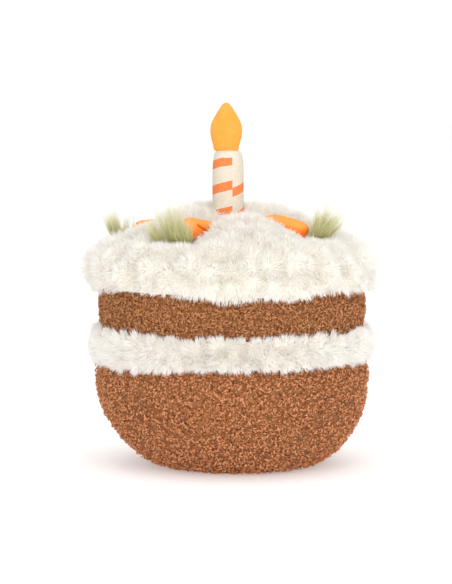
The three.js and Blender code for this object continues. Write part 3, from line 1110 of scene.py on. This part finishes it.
@dataclass(frozen=True)
class Carrot:
    """Where a carrot and its leaves lie on the icing."""

    number: int
    angle: float  # of its tip: degrees from the front, to the right
    tip_ring: float  # distance of its tip from the candle's axis
    tip_height: float
    heading: float  # the way to its leaves: degrees from the front, to the right
    slope: float  # degrees that it drops towards its leaves
    clumps: tuple[Clump, ...]
    leaf_length: float
    leaf_drop: float  # the leaves start this far under its end
    leaf_hairs: int
    bed: float = 0.0  # how far the pile is pressed down where it lies
    bed_middle: tuple[float, float] = (0.0, 0.0)  # in X and Y
    bed_width: float = 11 * MM
    bank: tuple[float, float, float] = (0.0, 0.0, 0.0)  # in X and Y, and how much higher the pile stands
    bank_width: float = 4.5 * MM
    fold: tuple[float, float, float, float] | None = None  # share along and degrees up of the fold's two ends
    flatter: float = 0.0  # how much lower the top of its thick end is gathered
    sunk: float = 0.0  # how far its tip sinks into the pile
    length: float = 25 * MM
    radius: float = 5.4 * MM

    @staticmethod
    def level(angle: float) -> Vector:
        """Returns the level way at an angle from the front to the right."""
        turn = math.radians(angle)
        return Vector((math.sin(turn), -math.cos(turn), 0))

    @property
    def tip(self) -> Vector:
        """The carrot's tip."""
        return Vector((CANDLE_X, 0, self.tip_height)) + self.level(self.angle) * self.tip_ring

    @property
    def along(self) -> Vector:
        """The way from its tip to its thick end."""
        drop = math.radians(self.slope)
        return self.level(self.heading) * math.cos(drop) + Vector((0, 0, -math.sin(drop)))

    @property
    def end(self) -> Vector:
        """The middle of its thick end."""
        return self.tip + self.along * self.length

    def share(self, points: Array) -> Array:
        """Returns how far along the carrot points are, from 0 at its tip to 1 at its thick end."""
        return (points - np.array(self.tip)) @ np.array(self.along) / self.length

    def clearance(self, points: Array) -> Array:
        """Measures how far points are outside the carrot's skin.

        Args:
            points: one row each.

        Returns:
            The distances, below 0 inside.
        """
        share = np.clip(self.share(points), 0, 1)
        on_axis = np.array(self.tip) + share[:, None] * self.length * np.array(self.along)
        skin = self.radius * np.maximum(share, 0.02) ** 0.62
        return np.linalg.norm(points - on_axis, axis=1) - skin

    def beside(self, points: Array) -> Array:
        """Returns 1 right beside its thick half, falling to 0 further away and towards its tip."""
        thick = smoothstep(self.share(points), 0.2, 0.5)
        return thick * (1 - smoothstep(self.clearance(points), 0.5 * MM, 6 * MM))

    def pressed(self, points: Array) -> Array:
        """Measures how far the pile is pressed down: most in a round hollow before its thick end.

        Args:
            points: places on the icing, one row each.

        Returns:
            The depths, below 0 where the pile stands higher.
        """
        beside = smoothstep(self.share(points), 0.25, 0.6)
        beside *= 1 - smoothstep(self.clearance(points), 2 * MM, 10 * MM)
        hollow = bump_at(from_upright(points, *self.bed_middle), 0, self.bed_width)
        x, y, rise = self.bank
        bank = rise * bump_at(from_upright(points, x, y), 0, self.bank_width)
        return self.bed * np.maximum(hollow, 0.5 * beside) - bank


@dataclass(frozen=True)
class CarrotRing:
    """The stuffed carrots, each with a tuft of leaves at its thick end."""

    carrots: tuple[Carrot, ...] = (
        Carrot(number=1, angle=-100.0, tip_ring=18.5 * MM, tip_height=107.6 * MM, heading=-100.0, slope=15.0,
               clumps=(Clump(7.0, 2.0, -0.36, 1.0, 0.92), Clump(5.8, -0.5, -0.22, 1.2, 1.0),
                       Clump(3.0, -2.4, -0.05, 0.3, 0.66), Clump(1.3, -3.0, 0.1, 0.35, 0.9)),
               leaf_length=18.0 * MM, leaf_drop=3.4 * MM, leaf_hairs=1600,
               bed=0.8 * MM, bed_middle=(-46.0 * MM, 0.0)),
        Carrot(number=2, angle=-9.0, tip_ring=13.3 * MM, tip_height=105.6 * MM, heading=-45.0, slope=0.0,
               clumps=(Clump(8.0, 5.4, -0.5, 0.8, 0.7), Clump(5.4, 0.8, -0.4, 0.9, 1.04),
                       Clump(4.2, -2.6, -0.14, 1.2, 1.02), Clump(3.2, -5.0, -0.1, 0.7, 0.88),
                       Clump(1.9, -6.1, 0.0, 0.25, 0.6)),
               leaf_length=19.5 * MM, leaf_drop=4.8 * MM, leaf_hairs=1750,
               bed=5.2 * MM, bed_middle=(-13.5 * MM, -36.0 * MM), bed_width=8 * MM,
               bank=(-30.5 * MM, -41 * MM, 3.0 * MM), fold=(0.8, 23.0, 0.53, -20.0)),
        Carrot(number=3, angle=65.0, tip_ring=14.0 * MM, tip_height=110.2 * MM, heading=65.0, slope=15.0,
               clumps=(Clump(4.2, -0.7, 0.04, 0.8, 0.92), Clump(5.2, -1.3, 0.36, 1.1, 1.0),
                       Clump(5.8, -2.0, 0.7, 1.0, 1.0)),
               leaf_length=17.0 * MM, leaf_drop=2.4 * MM, leaf_hairs=2000,
               bed=3.6 * MM, bed_middle=(27.0 * MM, -27.0 * MM),
               bank=(36.5 * MM, -24.5 * MM, 2.0 * MM), flatter=0.4, sunk=1.0 * MM),
        Carrot(number=4, angle=162.0, tip_ring=16.0 * MM, tip_height=108.6 * MM, heading=162.0, slope=15.0,
               clumps=(Clump(5.0, -5.5, 0.2), Clump(6.5, 0.0, 0.1), Clump(5.0, 5.5, -0.2)),
               leaf_length=11.0 * MM, leaf_drop=3.2 * MM, leaf_hairs=900),
    )
    voxel: float = 0.75 * MM
    cap: float = 0.5 * MM
    fold_depth: float = 0.7 * MM
    fold_width: float = 0.4 * MM
    fold_radius: float = 4 * MM  # the skin is unrolled at this radius to draw the fold on it
    leaf_width: float = 0.13 * MM  # of one hair
    spikes: int = 9  # bunches of hairs in each clump
    spike_radius: float = 0.7 * MM  # of a bunch at its root
    spike_fan: float = 0.17  # how differently the bunches lean
    spike_lengths: Span = (0.7, 1.06)  # of the leaves' length
    hair_widths: Span = (0.7, 1.25)  # of the leaf width
    stuffing: Stuffing = Stuffing()

    def body(self, carrot: Carrot) -> bpy.types.Object:
        """Makes one stuffed carrot.

        Args:
            carrot: which one.

        Returns:
            The new piece.
        """
        piece = copy_of_node(f"carrot_{carrot.number}", f"carrot_{carrot.number}_skin", self.voxel)
        # It is sewn to nothing.
        self.stuffing.swell(piece, self.cap, lambda points, normals: np.zeros(len(points), dtype=bool))
        soften(piece, 6)
        refine(piece)
        self.settle(piece, carrot)
        if carrot.fold:
            self.crease(piece, carrot)
        return piece

    def settle(self, piece: bpy.types.Object, carrot: Carrot) -> None:
        """Gathers the top of a carrot's thick end and sinks its tip.

        Args:
            piece: the carrot's skin.
            carrot: which one.
        """
        points = points_of(piece)
        share = carrot.share(points)
        above = np.maximum(points[:, 2] - carrot.tip_height - share * carrot.length * carrot.along[2], 0)
        points[:, 2] -= above * carrot.flatter * smoothstep(share, 0.3, 0.95)
        points[:, 2] -= carrot.sunk * (1 - smoothstep(share, 0.0, 0.35))
        move_points(piece, points)

    def crease(self, piece: bpy.types.Object, carrot: Carrot) -> None:
        """Presses a carrot's fold into its skin and marks how deep each point lies in it, for the painted
        shade in the fold.

        Args:
            piece: the carrot's skin.
            carrot: which one.
        """
        points, normals = points_of(piece), normals_of(piece)
        along = np.array(carrot.along)
        across = unit(np.cross(along, [0, 0, 1]))
        across *= -np.sign(across[1])
        upward = np.array([0, 0, 1]) - along * along[2]
        away = points - np.array(carrot.tip)
        beside, above = away @ across, away @ unit(upward)
        start_share, start_turn, end_share, end_turn = carrot.fold
        place = np.stack([away @ along, np.arctan2(above, beside) * self.fold_radius], axis=1)
        start = np.array([start_share * carrot.length, math.radians(start_turn) * self.fold_radius])
        line = np.array([end_share * carrot.length, math.radians(end_turn) * self.fold_radius]) - start
        share = np.clip((place - start) @ line / (line @ line), 0, 1)
        deep = bump_at(np.linalg.norm(place - start - share[:, None] * line, axis=1), 0, self.fold_width)
        move_points(piece, points - normals * (self.fold_depth * deep)[:, None])
        piece.data.attributes.new(FOLD_SHADE, "FLOAT", "POINT").data.foreach_set("value", deep)

    def leaves(self, carrot: Carrot) -> bpy.types.Object:
        """Makes one carrot's leaves: long fine pile that rises from a few roots in bunches with a point.

        Args:
            carrot: which one.

        Returns:
            The new piece.
        """
        rng = np.random.default_rng(500 + carrot.number)
        out = np.array(carrot.level(carrot.heading))
        side = np.cross(out, [0, 0, 1])
        clump_roots = np.array([(out * clump.out + side * clump.side) * MM for clump in carrot.clumps])
        clump_ways = np.array([(clump.lean, 0, 1) for clump in carrot.clumps])
        of_clump = np.repeat(np.arange(len(carrot.clumps)), self.spikes)
        share = np.array([clump.share for clump in carrot.clumps])[of_clump]
        tall = np.array([clump.tall for clump in carrot.clumps])[of_clump]
        spikes = len(of_clump)
        fan = rng.normal(0, self.spike_fan, (spikes, 3)) * [1, 1, 0]
        spike_roots = np.array(carrot.end) - [0, 0, carrot.leaf_drop] + clump_roots[of_clump] + fan * 4 * MM
        spike_ways = unit(clump_ways[of_clump] + fan)
        spike_length = carrot.leaf_length * (tall * rng.uniform(*self.spike_lengths, spikes))[:, None]
        hairs = carrot.leaf_hairs
        of_spike = rng.choice(spikes, hairs, p=share / share.sum())
        aside = rng.normal(0, self.spike_radius, (hairs, 3)) * [1, 1, 0.3]
        up = 0.25 + 0.8 * rng.random((hairs, 1)) ** 2.0  # few hairs reach the point
        roots = spike_roots[of_spike] + aside
        tips = spike_roots[of_spike] + spike_ways[of_spike] * spike_length[of_spike] * up
        tips += aside * (1.3 - up) + rng.normal(0, 0.05, (hairs, 3)) * carrot.leaf_length * up
        width = self.leaf_width * rng.uniform(*self.hair_widths, hairs)
        way = rng.normal(size=roots.shape)
        return slivers(f"carrot_{carrot.number}_leaves", roots, tips, way, width, rng.random(hairs))

    def build(self) -> None:
        """Builds every carrot with its leaves."""
        for carrot in self.carrots:
            name = f"carrot_leaves_{carrot.number}"
            fix(self.body(carrot), Finish.CARROT_SUEDE, f"carrot_{carrot.number}")
            fix(self.leaves(carrot), Finish.LEAF_PILE, name)


@dataclass(frozen=True)
class CreamIcing:
    """The icing: a shaggy domed cap with a plump rim, which hangs over the upper sponge."""

    carrots: tuple[Carrot, ...]
    node: str = "cream_icing"
    seam: float = 80.4 * MM
    seam_gap: float = 0.5 * MM  # what lies further under the seam hangs over the upper sponge
    wall: float = 58.9 * MM  # the inside of the hanging edge
    sink: float = 2.2 * MM  # at the side
    top_sink: float = 3.0 * MM  # where it faces up
    crown_sink: float = 1.0 * MM  # behind the candle, where the pile stands highest
    shoulder: float = 0.9 * MM  # how much deeper the ground lies where the rim turns from its top to its side
    rim_shift: float = 0.8 * MM  # the rim's top leans this far to the right
    left_tuck: float = 1.0 * MM  # the left side's lower edge turns in this far
    candle_hollow: tuple[float, float, float] = (5.5 * MM, -6.5 * MM, 2.4 * MM)  # in X and Y, and how deep
    hollow_width: float = 4.2 * MM
    drop: float = 0.33  # how much of the solid's hanging edge is left where it hangs as a rule
    # The lobes of the hanging edge: degrees round, width in degrees and share of the drop.
    lobes: tuple[tuple[float, float, float], ...] = (
        (-47, 14, -0.95), (-28, 9, -0.3), (1, 9, 0.55), (12, 4, -0.3), (26, 12, 0.6), (80, 16, -0.3),
        (112, 15, 0.5), (148, 14, -0.4), (-165, 18, 0.45), (-125, 15, 0.4))
    # Where these shapes fade in: heights, distances from the candle or the cake's axis, and X or Y.
    crown_reach: Span = (12 * MM, 34 * MM)
    crown_front: Span = (-12 * MM, 4 * MM)
    shoulder_reach: Span = (46 * MM, 56 * MM)
    shift_height: Span = (84 * MM, 92 * MM)
    shift_reach: Span = (30 * MM, 50 * MM)
    tuck_height: Span = (79 * MM, 85 * MM)
    tuck_side: Span = (-58 * MM, -42 * MM)
    skirt: Span = (80 * MM, 90 * MM)  # below it the pile is combed down, above it outwards
    dome: Span = (95 * MM, 102 * MM)
    wings: Span = (42 * MM, 57 * MM)  # further to both sides the skirt's pile is longer
    ring: float = 46 * MM  # the crown's pile ends here and the rim's begins
    most_hairs: int = 49900  # in a piece, at four faces each
    pile: Pile = Pile(length=4.3 * MM, width=0.24 * MM, hairs=49500, lock=2.7 * MM, sway=0.18, unruly=0.27,
                      lumps=((10 * MM, 2.2 * MM), (4.4 * MM, 1.1 * MM)))

    def core(self) -> bpy.types.Object:
        """Makes the ground under the pile."""
        piece = copy_of_node(self.node, f"{self.node}_core", 1.3 * MM)
        points, normals = points_of(piece), normals_of(piece)
        radius = from_upright(points)
        points -= normals * self.depth(points, normals)[:, None]
        x, y, deep = self.candle_hollow
        hollow = bump_at(from_upright(points, x, y), 0, self.hollow_width)
        points[:, 2] -= deep * hollow * (normals[:, 2] > 0.1)
        pressed = sum(carrot.pressed(points) for carrot in self.carrots)
        points[:, 2] -= pressed * smoothstep(normals[:, 2], 0.1, 0.6)
        on_top = smoothstep(points[:, 2], *self.shift_height)
        points[:, 0] += self.rim_shift * on_top * smoothstep(radius, *self.shift_reach)
        low = 1 - smoothstep(points[:, 2], *self.tuck_height)
        points[:, 0] += self.left_tuck * (low * (1 - smoothstep(points[:, 0], *self.tuck_side)))
        hanging = points[:, 2] < self.seam - self.seam_gap
        hung = (points[:, 2] - self.seam + self.seam_gap) * (self.drop * self.hang(points) ** 2)
        points[hanging, 2] = self.seam - self.seam_gap + hung[hanging]
        move_points(piece, points)
        soften(piece, 6)
        return piece

    def depth(self, points: Array, normals: Array) -> Array:
        """Measures how deep the ground lies under the solid, whose outside is where the pile ends.

        Args:
            points: the solid's points, one row each.
            normals: their normals.

        Returns:
            The depths: none inside the cake, and less under what lies on the icing.
        """
        radius, facing = from_upright(points), normals[:, 2]
        outer = smoothstep(points[:, 2], self.seam - 1 * MM, self.seam + 4 * MM)
        outer = np.maximum(outer, outward(points, normals) & (radius > self.wall))
        outer *= (facing > -0.8) | (radius > self.wall)
        outer *= 0.45 + 0.55 * smoothstep(self.covered(points), -1.5 * MM, 2 * MM)
        sink = self.sink + (self.top_sink - self.sink) * smoothstep(facing, 0.3, 0.9)
        crown = 1 - smoothstep(self.from_candle(points), *self.crown_reach)
        crown *= smoothstep(points[:, 1], *self.crown_front)
        sink += (self.crown_sink - sink) * crown * (facing > 0)
        turning = smoothstep(facing, 0.1, 0.4) * (1 - smoothstep(facing, 0.85, 1.0))
        sink += self.shoulder * turning * smoothstep(radius, *self.shoulder_reach)
        return sink * outer

    def hang(self, points: Array) -> Array:
        """Returns how far the edge hangs down: 0 not at all, 1 as a rule and more in its lobes."""
        angle = angle_of(points)
        return 1 + sum(share * bump_at(angle, middle, width) for middle, width, share in self.lobes)

    def from_candle(self, points: Array) -> Array:
        """Returns how far points are from the candle's axis."""
        return from_upright(points, CANDLE_X)

    def covered(self, points: Array) -> Array:
        """Returns how far points are outside the candle and the carrots, below 0 under them."""
        nearest_carrot = np.minimum.reduce([carrot.clearance(points) for carrot in self.carrots])
        return np.minimum(self.from_candle(points) - CANDLE_RADIUS, nearest_carrot)

    def clear(self, points: Array) -> Array:
        """Returns the share of the lumps' height: little beside what lies on the icing, all away from it."""
        return 0.25 + 0.75 * smoothstep(self.covered(points), 1 * MM, 7 * MM)

    def carries_rim(self, points: Array, normals: Array) -> Array:
        """Finds what carries the rim's pile: all that faces up or out beyond the ring.

        Args:
            points: places on the ground, one row each.
            normals: their normals.

        Returns:
            True where there is pile.
        """
        facing = normals[:, 2]
        steepest = -0.75 + 0.15 * (1 - np.minimum(self.hang(points), 1))
        rim = outward(points, normals) & (facing > steepest) | (facing > 0.3)
        return (self.from_candle(points) >= self.ring) & rim & (self.covered(points) > 0.3 * MM)

    def carries_crown(self, points: Array, normals: Array) -> Array:
        """Returns which points carry the crown's pile: all that faces up inside the ring."""
        crown = (self.from_candle(points) < self.ring) & (normals[:, 2] > 0.15)
        return crown & (self.covered(points) > 0.3 * MM)

    def carries_pile(self, points: Array, normals: Array) -> Array:
        """Returns which points carry pile."""
        return self.carries_rim(points, normals) | self.carries_crown(points, normals)

    def comb(self, points: Array) -> tuple[Array, Array, Array]:
        """Combs the pile down at the hanging edge, outwards on the crown, and away from what lies on it.

        Args:
            points: the roots of hairs, one row each.

        Returns:
            Their lean, length and cling.
        """
        outwards = unit((points - [CANDLE_X, 0, 0]) * [1, 1, 0])
        low = 1 - smoothstep(points[:, 2], *self.skirt)
        lean = outwards * 0.2 * smoothstep(points[:, 2], *self.dome)[:, None]
        hang = self.hang(points)
        short = 1 - np.minimum(hang, 1)
        lean[:, 2] += low * (0.4 * short - 0.8 * hang) - 0.1
        lean -= outwards * 0.15 * low[:, None]
        room = self.covered(points)
        beside = np.max([carrot.beside(points) for carrot in self.carrots], axis=0)
        by_candle = 1 - smoothstep(self.from_candle(points) - CANDLE_RADIUS, 0.5 * MM, 6 * MM)
        away = np.maximum(0.6 * beside, 0.25 * by_candle)
        step = 0.5 * MM
        for axis in range(3):
            ahead = points.copy()
            ahead[:, axis] += step
            lean[:, axis] += (self.covered(ahead) - room) / step * away
        shorter = 0.2 - 0.1 * smoothstep(np.abs(points[:, 0]), *self.wings) + 0.2 * short
        return lean, 1 - 0.4 * beside - shorter * low, 0.08 + 0.26 * low

    def build(self) -> None:
        """Builds the core and its pile in two pieces, rim and crown."""
        core = self.core()
        self.pile.swell(core, self.carries_pile, 400, self.clear)
        rim, crown = Surface(core, self.carries_rim), Surface(core, self.carries_crown)
        share = rim.area / (rim.area + crown.area)
        for part, ground, hairs, seed in (("rim", rim, share, 401), ("crown", crown, 1 - share, 402)):
            fur = replace(self.pile, hairs=min(int(2 * self.pile.hairs * hairs), self.most_hairs))
            pile = fur.grow(f"{self.node}_{part}_pile", ground, self.comb, seed)
            fix(pile, Finish.CREAM_PILE)
        fix(core, Finish.CREAM_GROUND, self.node)


@dataclass(frozen=True)
class Candle:
    """The stuffed cotton candle, with a seam up its front."""

    node: str = "candle"
    seam_depth: float = 0.3 * MM
    seam_width: float = 4.0  # degrees
    voxel: float = 0.8 * MM
    cap: float = 0.4 * MM
    foot: float = 108 * MM  # it is held in the icing up to here
    stuffing: Stuffing = Stuffing(pressure=3.0)

    def build(self) -> None:
        """Builds the candle."""
        piece = copy_of_node(self.node, "candle_sleeve", self.voxel)
        self.stuffing.swell(piece, self.cap, lambda points, normals: points[:, 2] < self.foot)
        soften(piece, 3)
        points, normals = points_of(piece), normals_of(piece)
        centred = points - [CANDLE_X, 0, 0]
        outside = from_upright(centred) > CANDLE_RADIUS * 0.7
        seam = bump_at(angle_of(centred), CANDLE_SEAM, self.seam_width) * outside
        move_points(piece, points - normals * (self.seam_depth * seam)[:, None])
        refine(piece)
        fix(piece, Finish.CANDLE_COTTON, self.node)


@dataclass(frozen=True)
class Flame:
    """The stuffed felt flame: two flat teardrops sewn together round their edge."""

    node: str = "candle_flame"
    voxel: float = 0.7 * MM
    cap: float = 0.5 * MM
    held: float = 0.4 * MM  # nearer than this to the seam the felt stays where it is
    seam_depth: float = 0.35 * MM
    seam_width: float = 0.45 * MM
    foot: float = 0.07  # how much wider its foot is squared off
    foot_height: float = 2 * MM
    foot_drop: float = 0.6 * MM  # how far the foot goes down to the candle's top
    stuffing: Stuffing = Stuffing()

    def build(self) -> None:
        """Builds the flame."""
        piece = copy_of_node(self.node, "flame_skin", self.voxel)
        self.stuffing.swell(piece, self.cap, lambda points, normals: np.abs(points[:, 1]) < self.held)
        soften(piece, 4)
        points, normals = points_of(piece), normals_of(piece)
        seam = bump_at(points[:, 1], 0, self.seam_width) * (np.abs(normals[:, 1]) < 0.6)
        points -= normals * (self.seam_depth * seam)[:, None]
        foot = bump_at(points[:, 2], points[:, 2].min(), self.foot_height)
        points[:, 0] = CANDLE_X + (points[:, 0] - CANDLE_X) * (1 + self.foot * foot)
        points[:, 2] -= self.foot_drop * foot
        move_points(piece, points)
        refine(piece)
        fix(piece, Finish.FLAME_FELT, self.node)


# ---------------------------------------------------------------------------------------------- studio


@dataclass(frozen=True)
class Lamp:
    """A large square lamp that shines on the toy."""

    name: str
    place: tuple[float, float, float]
    size: float
    power: float
    target: tuple[float, float, float] = (0.0, 0.0, 0.07)

    def build(self) -> None:
        """Adds the lamp."""
        data = bpy.data.lights.new(self.name, "AREA")
        data.size = self.size
        data.energy = self.power
        lamp = bpy.data.objects.new(self.name, data)
        lamp.location = self.place
        way = Vector(self.target) - Vector(self.place)
        lamp.rotation_euler = way.to_track_quat("-Z", "Y").to_euler()
        bpy.context.collection.objects.link(lamp)


@dataclass(frozen=True)
class Studio:
    """A plain white studio: a floor that glows a little, a pale surround, and two large soft lamps.

    The surround is darker at its sides, so that white pile keeps an edge against the white behind it.
    """

    image_height: int = 584
    pixel: float = 0.4405 * MM  # of the object for each pixel of the image
    centre: tuple[float, float, float] = (-2.6 * MM, 0.0, 76.2 * MM)
    elevation: float = 5.0
    distance: float = 1.2
    sensor: float = 36.0
    surround: float = 0.87  # how bright the surround is that lights the toy
    tint: tuple[float, float, float, float] = (1.0, 1.0, 0.995, 1.0)
    side_fall: float = 0.45  # how much darker it is straight to the left and the right
    backdrop: float = 1.04  # how bright it looks to the camera
    lamps: tuple[Lamp, ...] = (Lamp("key", (0.2, -1.33, 0.34), size=1.8, power=16.2),
                               Lamp("top", (0, -0.1, 1.3), size=1.0, power=2.6))
    floor_radius: float = 6.0
    floor_glow: float = 0.31

    def camera(self) -> None:
        """Adds the camera."""
        data = bpy.data.cameras.new("camera")
        data.sensor_width = self.sensor
        data.lens = self.sensor * self.distance / (self.image_height * self.pixel)
        data.clip_start = 0.01
        camera = bpy.data.objects.new("camera", data)
        tilt = math.radians(self.elevation)
        away = Vector((0, -math.cos(tilt), math.sin(tilt))) * self.distance
        camera.location = Vector(self.centre) + away
        camera.rotation_euler = (math.radians(90) - tilt, 0, 0)
        bpy.context.collection.objects.link(camera)
        bpy.context.scene.camera = camera

    def world(self) -> None:
        """Adds the surround, which the camera sees as an even white."""
        world = bpy.data.worlds.new("white_surround")
        world.use_nodes = True
        tree = world.node_tree
        tree.nodes.clear()
        way = node(tree, "SeparateXYZ", {0: node(tree, "TexCoord").outputs["Generated"]}).outputs["X"]
        beside = node(tree, "Math", {0: way, 1: way}, operation="MULTIPLY")
        links = {0: beside, 1: -self.side_fall * self.surround, 2: self.surround}
        strength = node(tree, "Math", links, operation="MULTIPLY_ADD")
        glow = node(tree, "Background", {"Color": self.tint, "Strength": strength})
        backdrop = node(tree, "Background", {"Color": WHITE, "Strength": self.backdrop})
        seen = node(tree, "LightPath").outputs["Is Camera Ray"]
        node(tree, "OutputWorld", {"Surface": node(tree, "MixShader", {0: seen, 1: glow, 2: backdrop})})
        bpy.context.scene.world = world

    def floor(self) -> None:
        """Adds the floor."""
        bpy.ops.object.select_all(action="DESELECT")
        bpy.ops.mesh.primitive_circle_add(vertices=96, radius=self.floor_radius, fill_type="NGON")
        floor = bpy.context.object
        floor.name = "floor"
        # Matt white acrylic sheet, lit from below: white all over, with only a faint shadow under the toy.
        material, tree = blank("white_acrylic")
        links = {"Base Color": linear("f2f2f2"), "Roughness": 0.9, "Emission Color": WHITE,
                 "Emission Strength": self.floor_glow}
        node(tree, "OutputMaterial", {"Surface": node(tree, "BsdfPrincipled", links)})
        floor.data.materials.append(material)

    def build(self) -> None:
        """Builds the studio and sets how light is shown."""
        self.camera()
        self.world()
        for lamp in self.lamps:
            lamp.build()
        self.floor()
        scene = bpy.context.scene
        scene.view_settings.view_transform = "Standard"
        scene.cycles.diffuse_bounces = 10
        scene.cycles.max_bounces = 14


def main() -> None:
    """Builds the toy piece by piece, then the studio round it."""
    logging.basicConfig(level=logging.INFO, format="%(name)s %(message)s")
    ring = CarrotRing()
    lower = Sponge("sponge_lower", Finish.SPONGE_CURLS, Curls(), 0.0, 47.7 * MM, seed=101)
    upper = Sponge("sponge_upper", Finish.UPPER_CURLS, Curls(count=19000), 60.3 * MM, 80.1 * MM, seed=201,
                   seam_radius=58.4 * MM)
    for part in (lower, CreamFilling(), upper, CreamIcing(ring.carrots), ring, Candle(), Flame()):
        part.build()
    Studio().build()


if __name__ == "__main__":
    main()
